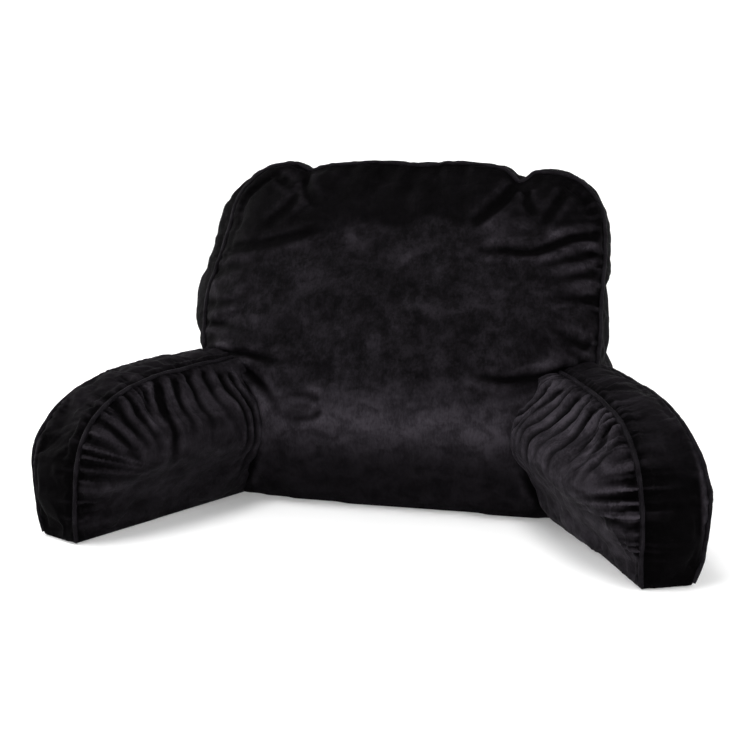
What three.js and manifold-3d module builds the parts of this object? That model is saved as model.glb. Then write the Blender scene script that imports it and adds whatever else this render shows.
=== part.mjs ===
// Bed-rest lumbar cushion with two arms: a sewn velour cover with piped seams, a liner bag in
// each chamber, and a foam fill in each liner. Millimetres, +Z up, +Y towards the rear.
// The layout below has y = 0 on the front base line of the back; the last lines move the whole
// object so that the origin lies under the middle of its bounding box.
import * as THREE from "three";
import { mergeVertices } from "three/addons/utils/BufferGeometryUtils.js";
import Module from "manifold-3d";

const wasm = await Module();
wasm.setup();

// ---- driving dimensions -------------------------------------------------------------------
const FABRIC = 1.6; // velour with its backing
const LINER = 0.8;
const GAP = 0.5; // between neighbouring pieces
const FLOOR_CLEAR = 2.1; // the sewn walls start above the base panels
const FAR = 600; // past the object in every direction
const BITE = 0.1; // parts joined into one body run this far into each other

const BACK_HALF_WIDTH = 276;
const BACK_SHOULDER_WIDTH = 264; // half width where the corners start
const BACK_HEIGHT = 456;
const CORNER_RADIUS = 82;
const NOTCH_X = 150; // the two gathered notches in the top edge
const NOTCH_DEPTH = 20;
const REAR_Y = 190;
const LEAN = 0.5; // rearward travel of the front seam per unit of height
const LEAN_START = -80;
const SEAT_SEAM_Y = 4; // the front seam's least depth, beside the arms
const LEAN_BLEND = 30;
const FRONT_BULGE = 46;
const BASE_BOW = 24; // the front base line bows forward between the arms
const BASE_BOW_HEIGHT = 120;
const SIDE_BULGE = 0.045;
const BACK_CENTRE = [0, 170];
const FULL_HEIGHT = 90; // a face is as full as its bulge says from this height up

const ARM_ROOT_X = 223; // the inner seam plane where it meets the back
const ARM_SPLAY = THREE.MathUtils.degToRad(26);
const ARM_REACH = 296;
const ARM_HEIGHT = 198;
const ARM_WIDTH = 74; // between the inner and outer piping
const ARM_TAIL = 45; // runs on into the back, where the back cuts it off
const ARM_SQUARENESS = [4.05, 3.85]; // superellipse exponents of the arm's outline
const ARM_INNER_BULGE = 62;
const ARM_OUTER_BULGE = 34;
const ARM_CROWN = 0.02;
const ARM_CENTRE = [120, 88];

const WELT_RADIUS = 3;
const WELT_OFFSET = WELT_RADIUS + 0.9; // from the seam to the piping's centre line
const WELT_SIDES = 6;
const WELT_FLOOR = 4;
const FRONT_WELT_SHIFT = 0.3; // along Y, from the seam
const REAR_WELT_SHIFT = -1.1;
const FRONT_WELT_FLOOR = ARM_HEIGHT + 12; // the arms hide the front seam below this
const STRIP_MARGINS = [0.7, FABRIC + GAP]; // the boxing strip stops short of the two panels

const LINER_DEPTH = FABRIC + 2.8;
const FILL_DEPTH = LINER_DEPTH + LINER + 1.6;
const REAR_ROOM = 9; // room behind the zip for its slider
const BACK_MOUTH = { halfWidth: 140, halfHeight: 6, reach: 40 }; // openings that the bags are filled by
const ARM_MOUTH = { x: ARM_ROOT_X + 12, halfWidth: 9, halfDepth: 60, z: [50, 130] };

const ZIP_Z = 60;
const ZIP_HALF_LENGTH = 210;
const ZIP_SLOT = 13; // opening between the two rear panels
const TAPE_WIDTH = 14;
const TAPE_THICKNESS = 0.6;
const COIL_WIDTH = 2.6;
const COIL_THICKNESS = 1.8;
const COIL_CHANNEL = 1.6; // the slider's divider runs between the two coils
const ZIP_PLAY = 0.3; // between the moving parts of the zip
const PLATE_PLAY = 0.4;
const TAPE_OVERRUN = 8;
const COIL_INSET = 4;
const STOP = { length: 3, setback: 0.6 };
const SLIDER = { length: 12, width: 11, plate: 1.2, flange: 0.9 };
const POST = { length: 3, setback: 0.5, thickness: 0.8 };
const BAIL = { inset: 1, wall: 1.4, halfWidth: 1.1, height: 4.2, hole: 2.9 };
const PULL = { length: 26, width: 7, thickness: 1.6, bar: 0.8, arm: [0.7, 0.8], clear: 1.5, overlap: 2 };

const HANDLE_SPAN = 140; // between the two sewn ends
const HANDLE_DROP = 74;
const HANDLE_Z = 432;
const HANDLE_SECTION = [4, 10]; // half thickness, half width
const HANDLE_PROUD = 5.5; // the loop hangs this far behind the rear panel
const HANDLE_Y = REAR_Y + HANDLE_PROUD;
const HANDLE_ROUNDNESS = 0.8; // exponent of the loop's drop: a half circle at 1
const HANDLE_STEPS = 10;
const ANCHOR = { width: 20, height: 8, thickness: 2.4, above: 1.2, proud: 0.4 };

// How far each ring of a bulging face has gone from its seam towards its middle. The bags and
// the fill take fewer rings, whose flat facets lie inside the cover's.
const RINGS_BACK = [0, 0.04, 0.14, 0.34, 0.6, 0.85];
const RINGS_BACK_INSIDE = [0, 0.14, 0.6, 0.92];
const RINGS_ARM = [0, 0.06, 0.2, 0.45, 0.8];
const RINGS_ARM_INSIDE = [0, 0.2, 0.7, 0.92];
const RINGS_STRIP = [0.25, 0.5, 0.75];

const PAINT = {
  velour: { color: 0x0b0a0c, roughness: 0.85 },
  piping: { color: 0x080809, roughness: 0.8 },
  liner: { color: 0xd8d6d0, roughness: 0.9 },
  foam: { color: 0xd9c98a, roughness: 1.0 },
  tape: { color: 0x0d0d0e, roughness: 0.9 },
  coil: { color: 0x141415, roughness: 0.5 },
  metal: { color: 0x1b1b1d, roughness: 0.35, metalness: 0.8 },
};

// ---- loops and lofts ----------------------------------------------------------------------

// Moves each point of a closed 2-D loop inwards by a distance, mitring the corners.
function inset(loop, distance) {
  const n = loop.length;
  return loop.map((p, i) => {
    const normals = [loop[(i + n - 1) % n], p].map((from, k) => {
      const to = k === 0 ? p : loop[(i + 1) % n];
      return new THREE.Vector2(from[1] - to[1], to[0] - from[0]).normalize();
    });
    const mitre = normals[0].clone().add(normals[1]);
    mitre.multiplyScalar(distance / (1 + normals[0].dot(normals[1])));
    return [p[0] + mitre.x, p[1] + mitre.y];
  });
}

const towards = (centre, [a, b], share) => [a + (centre[0] - a) * share, b + (centre[1] - b) * share];
const dome = (share) => Math.sqrt(1 - (1 - share) ** 2);
const fullness = (z) => 1 - (1 - Math.min(1, Math.max(0, z / FULL_HEIGHT))) ** 2;

// A closed mesh through rings of equal length. With caps, the first and last rings are filled;
// without, the last ring joins the first.
function loft(rings, capped = true) {
  const n = rings[0].length;
  const faces = [];
  const spans = capped ? rings.length - 1 : rings.length;
  for (let r = 0; r < spans; r++) {
    const a = r * n;
    const b = ((r + 1) % rings.length) * n;
    for (let i = 0; i < n; i++) {
      const j = (i + 1) % n;
      faces.push([a + i, a + j, b + j], [a + i, b + j, b + i]);
    }
  }
  if (capped) {
    faces.push(...cap(rings[0], 0, true), ...cap(rings.at(-1), (rings.length - 1) * n, false));
  }
  return solid(rings.flat(), faces);
}

// Fills one ring, seen along the direction in which it is flattest.
function cap(ring, start, reversed) {
  const [u, w] = widestAxes(ring);
  const flat = ring.map((p) => new THREE.Vector2(p[u], p[w]));
  const turned = THREE.ShapeUtils.isClockWise(flat);
  const order = turned ? flat.slice().reverse() : flat;
  const index = (k) => start + (turned ? ring.length - 1 - k : k);
  return THREE.ShapeUtils.triangulateShape(order, []).map((t) => {
    const f = t.map(index);
    return turned === reversed ? f : f.reverse();
  });
}

function widestAxes(ring) {
  const span = [0, 1, 2].map((k) => Math.max(...ring.map((p) => p[k])) - Math.min(...ring.map((p) => p[k])));
  return [0, 1, 2].sort((a, b) => span[b] - span[a]).slice(0, 2).sort();
}

// A manifold-3d solid from points and faces, turned the right way out.
function solid(points, faces) {
  const make = (list) =>
    new wasm.Manifold(
      new wasm.Mesh({
        numProp: 3,
        vertProperties: new Float32Array(points.flat()),
        triVerts: new Uint32Array(list.flat()),
      }),
    );
  const made = make(faces);
  return made.volume() > 0 ? made : make(faces.map((f) => f.slice().reverse()));
}

function fromGeometry(geometry) {
  const bare = geometry.clone().deleteAttribute("normal").deleteAttribute("uv");
  const merged = mergeVertices(bare, 1e-4);
  return new wasm.Manifold(
    new wasm.Mesh({
      numProp: 3,
      vertProperties: merged.attributes.position.array,
      triVerts: new Uint32Array(merged.index.array),
    }),
  );
}

function box(x0, x1, y0, y1, z0, z1) {
  const geometry = new THREE.BoxGeometry(x1 - x0, y1 - y0, z1 - z0);
  geometry.translate((x0 + x1) / 2, (y0 + y1) / 2, (z0 + z1) / 2);
  return fromGeometry(geometry);
}

function tube(points, shape, steps) {
  const path = new THREE.CatmullRomCurve3(points.map((p) => new THREE.Vector3(...p)));
  return fromGeometry(
    new THREE.ExtrudeGeometry(shape, { steps, extrudePath: path, curveSegments: WELT_SIDES / 4 }),
  );
}

function ellipse(half, sides) {
  const points = Array.from({ length: sides }, (_, i) => {
    const a = (i / sides) * 2 * Math.PI;
    return new THREE.Vector2(half[0] * Math.cos(a), half[1] * Math.sin(a));
  });
  return new THREE.Shape(points);
}

const sample = (curve, divisions) => curve.getPoints(divisions).slice(1);

// ---- the back ---------------------------------------------------------------------------

// The right half of the back seen from the front, from the base centre to the top centre.
function backHalf() {
  const v = (x, z) => new THREE.Vector2(x, z);
  const w = BACK_HALF_WIDTH;
  const narrow = BACK_SHOULDER_WIDTH;
  const top = BACK_HEIGHT - 5;
  const shoulder = top - CORNER_RADIUS;
  const base = new THREE.LineCurve(v(0, 0), v(w, 0));
  const side = new THREE.SplineCurve([v(w, 0), v(w, 130), v(w, 250), v(narrow, shoulder)]);
  const corner = new THREE.EllipseCurve(narrow - CORNER_RADIUS, shoulder, CORNER_RADIUS, CORNER_RADIUS, 0, Math.PI / 2);
  const crest = new THREE.SplineCurve([
    v(narrow - CORNER_RADIUS, top),
    v(NOTCH_X + 22, top - 2),
    v(NOTCH_X, top - NOTCH_DEPTH),
    v(NOTCH_X - 24, top - 2),
    v(70, top + 3),
    v(0, BACK_HEIGHT),
  ]);
  const points = [v(0, 0), ...sample(base, 4), ...sample(side, 5), ...sample(corner, 4), ...sample(crest, 9)];
  return points.map((p) => [p.x, p.y]);
}

const half = backHalf();
const OUTLINE = [...half, ...half.slice(1, -1).reverse().map(([x, z]) => [-x, z])];

// Depth of the front seam: upright beside the arms, then leaning back.
function seamY([x, z]) {
  const leaning = LEAN_START + LEAN * z;
  const lean = (SEAT_SEAM_Y + leaning + Math.hypot(SEAT_SEAM_Y - leaning, LEAN_BLEND)) / 2;
  const across = Math.min(1, Math.abs(x) / ARM_ROOT_X);
  const low = Math.max(0, 1 - z / BASE_BOW_HEIGHT);
  return lean - BASE_BOW * (1 - across ** 2) * low;
}

function backFrontRings(depth, shares = RINGS_BACK) {
  return shares.map((share) =>
    inset(OUTLINE, depth).map((p) => {
      const q = towards(BACK_CENTRE, p, share);
      return [q[0], seamY(q) - FRONT_BULGE * dome(share) * fullness(q[1]) + depth, q[1]];
    }),
  ).reverse();
}

function backStripRing(depth, share, front, rear) {
  return inset(OUTLINE, depth).map((p) => {
    const seam = seamY(p);
    const y = THREE.MathUtils.lerp(seam + depth + front, REAR_Y - rear, share);
    const across = Math.min(1, (y - seam) / (REAR_Y - seam));
    return [p[0] * (1 + SIDE_BULGE * Math.sin(Math.PI * across)), y, p[1]];
  });
}

// The whole back, drawn in by a depth on all sides and by its own depth at the rear.
function backSolid(depth, rear = depth, shares = RINGS_BACK) {
  const strip = [...RINGS_STRIP, 1].map((share) => backStripRing(depth, share, 0, rear));
  return loft([...backFrontRings(depth, shares), ...strip]);
}

// ---- an arm --------------------------------------------------------------------------------

const BASE_STEPS = 5;
const BEND_STEPS = 11;

// The arm's side outline, as (distance from the root, height).
function armOutline() {
  const [n, m] = ARM_SQUARENESS;
  const base = Array.from({ length: BASE_STEPS }, (_, i) => [
    -ARM_TAIL + ((ARM_REACH + ARM_TAIL) * i) / BASE_STEPS,
    0,
  ]);
  const bend = Array.from({ length: BEND_STEPS + 1 }, (_, i) => {
    const a = (Math.PI / 2) * (1 - i / BEND_STEPS);
    return [ARM_REACH * Math.sin(a) ** (2 / n), ARM_HEIGHT * Math.max(0, Math.cos(a)) ** (2 / m)];
  });
  const tail = [
    [-ARM_TAIL / 2, ARM_HEIGHT],
    [-ARM_TAIL, ARM_HEIGHT],
    [-ARM_TAIL, ARM_HEIGHT * 0.66],
    [-ARM_TAIL, ARM_HEIGHT * 0.33],
  ];
  return [...base, ...bend, ...tail];
}

const ARM_LOOP = armOutline();

function armPoint(side, [s, z], outward) {
  return [
    side * (ARM_ROOT_X + Math.sin(ARM_SPLAY) * s + Math.cos(ARM_SPLAY) * outward),
    -Math.cos(ARM_SPLAY) * s + Math.sin(ARM_SPLAY) * outward,
    z,
  ];
}

// Rings of one bulging face, from its seam towards its middle. The inner face is on the seat side.
function armFaceRings(side, face, depth, shares = RINGS_ARM) {
  const bulge = face === "inner" ? -ARM_INNER_BULGE : ARM_OUTER_BULGE;
  const seam = face === "inner" ? 0 : ARM_WIDTH;
  const drawn = face === "inner" ? depth : -depth;
  return shares.map((share) =>
    inset(ARM_LOOP, depth).map((p) => {
      const q = towards(ARM_CENTRE, p, share);
      return armPoint(side, q, seam + bulge * dome(share) * fullness(q[1]) + drawn);
    }),
  );
}

function armStripRing(side, depth, share, margin) {
  const crown = -ARM_CROWN * Math.sin(Math.PI * share);
  const across = THREE.MathUtils.lerp(margin, ARM_WIDTH - margin, share);
  return inset(ARM_LOOP, depth).map(([s, z]) => {
    const q = towards(ARM_CENTRE, [s, z], crown);
    return armPoint(side, [q[0], Math.max(q[1], depth)], across);
  });
}

function armSolid(side, depth, shares = RINGS_ARM) {
  return loft([
    ...armFaceRings(side, "inner", depth, shares).reverse(),
    armStripRing(side, depth, 0.5, 0),
    ...armFaceRings(side, "outer", depth, shares),
  ]);
}

// ---- sewn pieces -------------------------------------------------------------------------

const below = (z) => box(-FAR, FAR, -FAR, FAR, -FAR, z);
const above = (z) => box(-FAR, FAR, -FAR, FAR, z, FAR);
const UNDERSIDE = below(FLOOR_CLEAR);
const BACK_ENVELOPE = backSolid(-GAP);
const WELT_GROOVE = backSolid(-2 * GAP);

function panel(rings, inner) {
  return loft([...rings, ...inner.slice().reverse()]).subtract(UNDERSIDE);
}

function band(outer, inner) {
  return loft([...outer, ...inner.slice().reverse()], false).subtract(UNDERSIDE);
}

function backCover() {
  const front = panel(backFrontRings(0), backFrontRings(FABRIC));
  const strip = (depth) => [0, ...RINGS_STRIP, 1].map((v) => backStripRing(depth, v, ...STRIP_MARGINS));
  const outline = (y) => OUTLINE.map(([x, z]) => [x, y, z]);
  const rear = loft([outline(REAR_Y - FABRIC), outline(REAR_Y)]).subtract(UNDERSIDE);
  const slot = box(-ZIP_HALF_LENGTH, ZIP_HALF_LENGTH, 0, FAR, ZIP_Z - ZIP_SLOT / 2, ZIP_Z + ZIP_SLOT / 2);
  return {
    back_front_panel: front.subtract(armSolid(1, -GAP)).subtract(armSolid(-1, -GAP)),
    arm_left_baffle: front.intersect(armSolid(-1, 0)),
    arm_right_baffle: front.intersect(armSolid(1, 0)),
    back_boxing_strip: band(strip(0), strip(FABRIC)),
    back_rear_upper_panel: rear.subtract(slot).subtract(below(ZIP_Z + GAP / 2)),
    back_rear_lower_panel: rear.subtract(slot).subtract(above(ZIP_Z - GAP / 2)),
  };
}

function armCover(side) {
  const faces = (face, depth) => armFaceRings(side, face, depth).reverse();
  const strip = (depth) => [0, 0.5, 1].map((v) => armStripRing(side, depth, v, 2 * GAP));
  // The faces stop a little short of the gusset, at the piping.
  const outwards = [side * Math.cos(ARM_SPLAY), Math.sin(ARM_SPLAY), 0];
  const shift = (rings, by) => rings.map((ring) => ring.map((p) => p.map((v, axis) => v + outwards[axis] * by)));
  const inner = panel(shift(faces("inner", 0), -GAP / 2), shift(faces("inner", FABRIC), -(GAP + FABRIC) / 2));
  const outer = panel(shift(faces("outer", 0), GAP / 2), shift(faces("outer", FABRIC), (GAP + FABRIC) / 2));
  return [
    ["inner_panel", inner],
    ["gusset", band(strip(0), strip(FABRIC))],
    ["outer_panel", outer],
  ].map(([name, made]) => [name, made.subtract(BACK_ENVELOPE)]);
}

// The flat panel underneath a chamber.
function basePanel(chamber) {
  return chamber.intersect(below(FABRIC));
}

// ---- piping ---------------------------------------------------------------------------------

const WELT_SHAPE = ellipse([WELT_RADIUS, WELT_RADIUS], WELT_SIDES);

function backWelt(depthOf, lowest) {
  const loop = inset(OUTLINE, -WELT_OFFSET);
  const first = half.findIndex(([, z]) => z > lowest) - 1;
  const run = loop.slice(first, OUTLINE.length - first + 1);
  const made = tube(run.map(([x, z]) => [x, depthOf([x, z]), z]), WELT_SHAPE, 44);
  return made.subtract(WELT_GROOVE).subtract(below(lowest));
}

function armWelt(side, outward) {
  const run = inset(ARM_LOOP, -WELT_OFFSET).slice(BASE_STEPS, BASE_STEPS + BEND_STEPS + 3);
  run[0][1] = 0;
  const made = tube(run.map((p) => armPoint(side, p, outward)), WELT_SHAPE, 24);
  return made.subtract(armSolid(side, -GAP)).subtract(BACK_ENVELOPE).subtract(below(WELT_FLOOR));
}

// ---- liners and fill --------------------------------------------------------------------------

function backLining() {
  const chamber = (depth, rear) => backSolid(depth, rear, RINGS_BACK_INSIDE);
  const bag = chamber(LINER_DEPTH, REAR_ROOM).subtract(chamber(LINER_DEPTH + LINER, REAR_ROOM + LINER));
  const { halfWidth, halfHeight, reach } = BACK_MOUTH;
  const mouth = box(-halfWidth, halfWidth, REAR_Y - reach, REAR_Y, ZIP_Z - halfHeight, ZIP_Z + halfHeight);
  return { liner_back: bag.subtract(mouth), fill_back: chamber(FILL_DEPTH, REAR_ROOM + LINER + 2 * GAP) };
}

function armLining(side) {
  const chamber = (depth, rear) =>
    armSolid(side, depth, RINGS_ARM_INSIDE).subtract(backSolid(-GAP - rear));
  const { halfWidth, halfDepth, z } = ARM_MOUTH;
  const x = side * ARM_MOUTH.x;
  const mouth = box(x - halfWidth, x + halfWidth, -halfDepth, halfDepth, ...z);
  return [
    ["liner", chamber(LINER_DEPTH, GAP).subtract(chamber(LINER_DEPTH + LINER, GAP + LINER)).subtract(mouth)],
    ["fill", chamber(FILL_DEPTH, 2 * GAP + LINER + 0.6)],
  ];
}

// ---- the zip -------------------------------------------------------------------------------------

const TAPE_Y = REAR_Y - FABRIC - GAP - TAPE_THICKNESS;
const COIL_Y = TAPE_Y + TAPE_THICKNESS + ZIP_PLAY;
const SLIDER_X = ZIP_HALF_LENGTH - 14; // the closed zip has its slider at this end
const BAIL_Y = COIL_Y + COIL_THICKNESS + PLATE_PLAY + SLIDER.plate;

function zipTapes() {
  const inner = COIL_CHANNEL / 2 + ZIP_PLAY;
  const tapeEnd = ZIP_HALF_LENGTH + TAPE_OVERRUN;
  const coilEnd = ZIP_HALF_LENGTH - COIL_INSET;
  const tape = (z0, z1) => box(-tapeEnd, tapeEnd, TAPE_Y, TAPE_Y + TAPE_THICKNESS, z0, z1);
  const coil = (z0, z1) => box(-coilEnd, coilEnd, COIL_Y, COIL_Y + COIL_THICKNESS, z0, z1);
  const near = COIL_CHANNEL / 2;
  return {
    zipper_tape_upper: tape(ZIP_Z + inner, ZIP_Z + inner + TAPE_WIDTH),
    zipper_tape_lower: tape(ZIP_Z - inner - TAPE_WIDTH, ZIP_Z - inner),
    zipper_coil_upper: coil(ZIP_Z + near, ZIP_Z + near + COIL_WIDTH),
    zipper_coil_lower: coil(ZIP_Z - near - COIL_WIDTH, ZIP_Z - near),
  };
}

function zipStops() {
  const y0 = COIL_Y;
  const y1 = COIL_Y + COIL_THICKNESS;
  const inner = COIL_CHANNEL / 2;
  const outer = inner + COIL_WIDTH;
  const end = ZIP_HALF_LENGTH - STOP.setback;
  const closed = [end - STOP.length, end];
  const open = [-end, -end + STOP.length];
  return {
    zipper_top_stop_upper: box(...closed, y0, y1, ZIP_Z + inner, ZIP_Z + outer),
    zipper_top_stop_lower: box(...closed, y0, y1, ZIP_Z - outer, ZIP_Z - inner),
    zipper_bottom_stop: box(...open, y0, y1, ZIP_Z - outer, ZIP_Z + outer),
  };
}

// Two plates either side of the coils, joined by the divider post, with a bail for the pull.
function zipSlider() {
  const [x0, x1] = [SLIDER_X - SLIDER.length / 2, SLIDER_X + SLIDER.length / 2];
  const [z0, z1] = [ZIP_Z - SLIDER.width / 2, ZIP_Z + SLIDER.width / 2];
  const topY = BAIL_Y - SLIDER.plate;
  const underY = TAPE_Y - PLATE_PLAY;
  const top = box(x0, x1, topY, BAIL_Y, z0, z1);
  const under = box(x0, x1, underY - SLIDER.plate, underY, z0, z1);
  const postEnd = x1 - POST.setback;
  const [postLow, postHigh] = [ZIP_Z - POST.thickness / 2, ZIP_Z + POST.thickness / 2];
  const post = box(postEnd - POST.length, postEnd, underY - BITE, topY + BITE, postLow, postHigh);
  const flange = (a, b) => box(x0, x1, COIL_Y + ZIP_PLAY, topY + BITE, a, b);
  const bail = (inset, y0, y1, half) => box(x0 + inset, x1 - inset, y0, y1, ZIP_Z - half, ZIP_Z + half);
  const bailOuter = bail(BAIL.inset, BAIL_Y - BITE, BAIL_Y + BAIL.height, BAIL.halfWidth);
  const bailHole = bail(BAIL.inset + BAIL.wall, BAIL_Y, BAIL_Y + BAIL.hole, 2 * BAIL.halfWidth);
  return top
    .add(under)
    .add(post)
    .add(flange(z0, z0 + SLIDER.flange))
    .add(flange(z1 - SLIDER.flange, z1))
    .add(bailOuter.subtract(bailHole));
}

// A flat tab with a window: the bar at its end runs through the bail and is the hinge.
function zipPull() {
  const barX = SLIDER_X;
  const barY = BAIL_Y + BAIL.hole / 2;
  const bar = new THREE.CylinderGeometry(PULL.bar, PULL.bar, PULL.width, 12);
  bar.rotateX(Math.PI / 2);
  bar.translate(barX, barY, ZIP_Z);
  const reach = SLIDER.length / 2 + PULL.clear;
  const [armY, armZ] = PULL.arm;
  const armRun = [barX - reach - PULL.overlap, barX + armY];
  const arm = (z) => box(...armRun, barY - armY, barY + armY, z - armZ, z + armZ);
  const y = [barY - PULL.thickness / 2, barY + PULL.thickness / 2];
  const tab = box(barX - PULL.length, barX - reach, ...y, ZIP_Z - PULL.width / 2, ZIP_Z + PULL.width / 2);
  const armAt = PULL.width / 2 - armZ;
  return fromGeometry(bar).add(arm(ZIP_Z + armAt)).add(arm(ZIP_Z - armAt)).add(tab);
}

// ---- the carry handle -----------------------------------------------------------------------

// A padded loop that hangs down the rear from two sewn ends, and swings up to be carried by.
function carryHandle() {
  const path = Array.from({ length: HANDLE_STEPS + 1 }, (_, i) => {
    const a = (Math.PI * i) / HANDLE_STEPS;
    const x = (-HANDLE_SPAN / 2) * Math.cos(a);
    return [x, HANDLE_Y, HANDLE_Z - HANDLE_DROP * Math.sin(a) ** HANDLE_ROUNDNESS];
  });
  const loop = tube(path, ellipse(HANDLE_SECTION, 8), 2 * HANDLE_STEPS + 2);
  return loop.subtract(above(HANDLE_Z + HANDLE_SECTION[0]));
}

function handleAnchor(side) {
  const x = (side * HANDLE_SPAN) / 2;
  const z = HANDLE_Z + HANDLE_SECTION[0] + ANCHOR.above;
  const y = REAR_Y + ANCHOR.proud;
  return box(x - ANCHOR.width / 2, x + ANCHOR.width / 2, y, y + ANCHOR.thickness, z, z + ANCHOR.height);
}

// ---- assembly --------------------------------------------------------------------------------

const cushion = new THREE.Group();

function add(name, made, paint) {
  const data = made.getMesh();
  const points = new Float32Array(data.numVert * 3);
  for (let i = 0; i < data.numVert; i++) {
    points.set(data.vertProperties.subarray(i * data.numProp, i * data.numProp + 3), i * 3);
  }
  const geometry = new THREE.BufferGeometry();
  geometry.setAttribute("position", new THREE.BufferAttribute(points, 3));
  geometry.setIndex(new THREE.BufferAttribute(data.triVerts, 1));
  geometry.computeVertexNormals();
  const mesh = new THREE.Mesh(geometry, new THREE.MeshStandardMaterial(PAINT[paint]));
  mesh.name = name;
  cushion.add(mesh);
}

const addAll = (pieces, paint) => Object.entries(pieces).forEach(([name, made]) => add(name, made, paint));

addAll(backCover(), "velour");
add("back_base_panel", basePanel(backSolid(0)), "velour");
add("back_front_welt", backWelt((p) => seamY(p) + FRONT_WELT_SHIFT, FRONT_WELT_FLOOR), "piping");
add("back_rear_welt", backWelt(() => REAR_Y + REAR_WELT_SHIFT, WELT_FLOOR), "piping");
const { liner_back: linerBack, fill_back: fillBack } = backLining();
add("liner_back", linerBack, "liner");
add("fill_back", fillBack, "foam");

for (const [word, side] of [["left", -1], ["right", 1]]) {
  armCover(side).forEach(([name, made]) => add(`arm_${word}_${name}`, made, "velour"));
  add(`arm_${word}_base_panel`, basePanel(armSolid(side, 0)).subtract(BACK_ENVELOPE), "velour");
  add(`arm_${word}_inner_welt`, armWelt(side, 0), "piping");
  add(`arm_${word}_outer_welt`, armWelt(side, ARM_WIDTH), "piping");
  const [[, liner], [, fill]] = armLining(side);
  add(`liner_arm_${word}`, liner, "liner");
  add(`fill_arm_${word}`, fill, "foam");
  add(`handle_anchor_${word}`, handleAnchor(side), "velour");
}

add("carry_handle", carryHandle(), "velour");
const { zipper_coil_upper: coilUpper, zipper_coil_lower: coilLower, ...tapes } = zipTapes();
addAll(tapes, "tape");
addAll({ zipper_coil_upper: coilUpper, zipper_coil_lower: coilLower, ...zipStops() }, "coil");
addAll({ zipper_slider: zipSlider(), zipper_pull: zipPull() }, "metal");

const bounds = new THREE.Box3().setFromObject(cushion);
cushion.position.set(-(bounds.min.x + bounds.max.x) / 2, -(bounds.min.y + bounds.max.y) / 2, -bounds.min.z);

export default cushion;
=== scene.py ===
"""Looks of a bed-rest pillow in black velour: a tall back and two splayed arms, sewn with piping.
Sizes are in millimetres in the design's layout, where y = 0 is the front base line of the back, and
at() turns them into the frame's metres."""

import math

import bpy
import numpy as np
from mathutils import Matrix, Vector, noise
from mathutils.kdtree import KDTree


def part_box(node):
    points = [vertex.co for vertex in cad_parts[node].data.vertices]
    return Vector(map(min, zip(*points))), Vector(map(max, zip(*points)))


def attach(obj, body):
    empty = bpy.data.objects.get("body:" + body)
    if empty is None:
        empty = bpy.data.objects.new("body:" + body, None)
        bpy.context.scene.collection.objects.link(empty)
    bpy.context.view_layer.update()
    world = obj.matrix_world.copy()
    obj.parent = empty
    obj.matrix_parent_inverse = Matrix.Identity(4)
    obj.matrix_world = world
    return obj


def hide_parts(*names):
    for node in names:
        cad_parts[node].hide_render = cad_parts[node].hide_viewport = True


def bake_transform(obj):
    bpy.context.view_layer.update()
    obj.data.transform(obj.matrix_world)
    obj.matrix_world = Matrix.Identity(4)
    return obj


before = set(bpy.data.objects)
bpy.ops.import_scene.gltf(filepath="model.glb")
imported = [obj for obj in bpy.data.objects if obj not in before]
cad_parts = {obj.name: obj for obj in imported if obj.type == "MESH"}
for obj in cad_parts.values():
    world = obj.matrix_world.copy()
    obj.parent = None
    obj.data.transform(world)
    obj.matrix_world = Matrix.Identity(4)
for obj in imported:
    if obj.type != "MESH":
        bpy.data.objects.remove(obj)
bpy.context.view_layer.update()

# ---- driving sizes, as in the design ----
MM = 0.001
REAR_Y = 190.0
REAR_SEAM_Y = REAR_Y - 1.5
LAYOUT_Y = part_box("back_rear_upper_panel")[1][1] / MM - REAR_Y  # the layout's y = 0 in the frame

# Each side of the back from the floor to its corner, as (half width, height). The left side sags.
BACK_WALL = {
    -1: [(274, 0), (274, 130), (286, 212), (290, 268), (277, 328), (268, 374)],
    1: [(274, 0), (274, 130), (271, 240), (271, 366)],
}
BACK_TOP = {-1: 457.0, 1: 449.0}  # the right lobe stands lower than the left
CORNER_RADIUS = 82.0
NOTCH_X = {-1: 158.0, 1: 146.0}
NOTCH_DEPTH = {-1: 11.0, 1: 15.0}
NOTCH_OUTER = 18.0  # how far a notch reaches towards its lobe
NOTCH_INNER = 26.0  # and towards the middle of the back
LEAN = 0.5
LEAN_START = -80.0
SEAT_SEAM_Y = 4.0
LEAN_BLEND = 30.0
FRONT_BULGE = 40.0
LUMBAR_PROUD = 12.0
LUMBAR_Z = 105.0
LUMBAR_SPREAD = 60.0
# The front base line from left to right, as (x, distance from the arms' roots).
BASE_LINE = [(-235, 0), (-150, -16), (-50, -24), (60, -24), (160, -32), (226, -26), (250, -4)]
BASE_BOW_HEIGHT = 120.0
LEFT_SIDE_BULGE = 22.0  # the left side of the boxing sags outwards more than the right
RIGHT_SIDE_BULGE = -3.0
SIDE_SWELL = 0.02  # the boxing's own swell, as a share of the half width
TOP_SWELL = 5.0
REAR_TAPER = 17.0  # the rear seam stands in by this much on the right, above the arm
REAR_DROP = 7.0  # and down by this much over the top
BACK_CENTRE = (0.0, 170.0)
FULL_HEIGHT = 80.0

ARM_ROOT_X = 223.0
ARM_SPLAY = math.radians(26.0)
ARM_REACH = 296.0
ARM_HEIGHT = 198.0
ARM_WIDTH = 74.0
ARM_TAIL = 45.0
ARM_SQUARENESS = (4.05, 3.85)
ARM_INNER_BULGE = {1: 70.0, -1: 54.0}
ARM_OUTER_BULGE = 16.0
ARM_CROWN = 7.0
ARM_BOW = 11.0  # how far the stuffing bows the outer seam, half way up
ARM_TUCK = 8.0  # and how far it is tucked in at the floor
ARM_CENTRE = (92.0, 92.0)

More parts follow.
